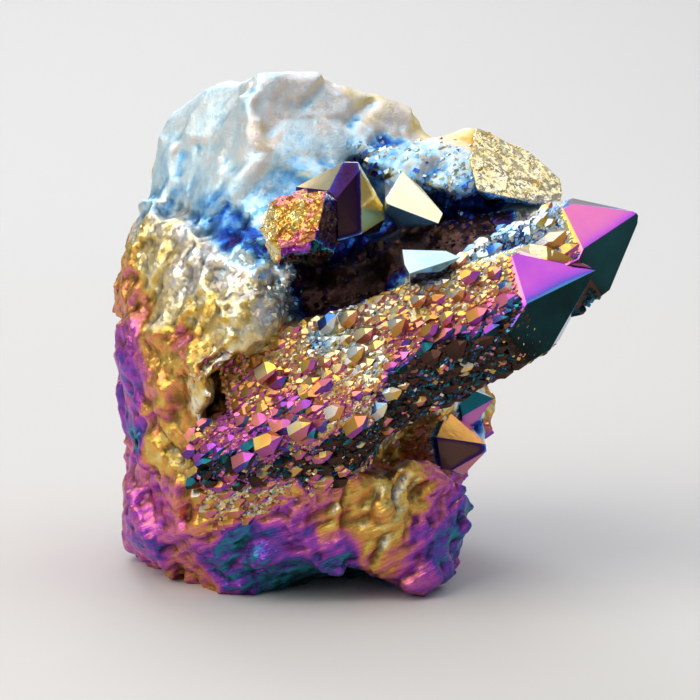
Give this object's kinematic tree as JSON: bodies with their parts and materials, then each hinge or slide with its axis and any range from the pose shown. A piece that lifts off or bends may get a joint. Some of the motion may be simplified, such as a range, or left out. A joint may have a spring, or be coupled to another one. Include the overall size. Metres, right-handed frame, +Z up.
{
  "type": "quartz crystal cluster",
  "caption": "Titanium-coated aura quartz specimen: a fractured root with tapering six-sided crystals leaning out of it, grown together as one solid.",
  "frame": {"origin": "on the flat base, under the fractured root; the mount base is there", "axes": "+Z up from the base, +X towards the tips of the long crystals, -Y towards the side that shows the crusted crystals"},
  "size_m": [0.0661, 0.0552, 0.0646],
  "materials": {
    "titanium_aura_quartz": "iridescent titanium film, mirror-like on the crystal faces and satin on the broken ones"
  },
  "bodies": {
    "root": {"quartz_cluster": "titanium_aura_quartz"}
  },
  "joints": []
}
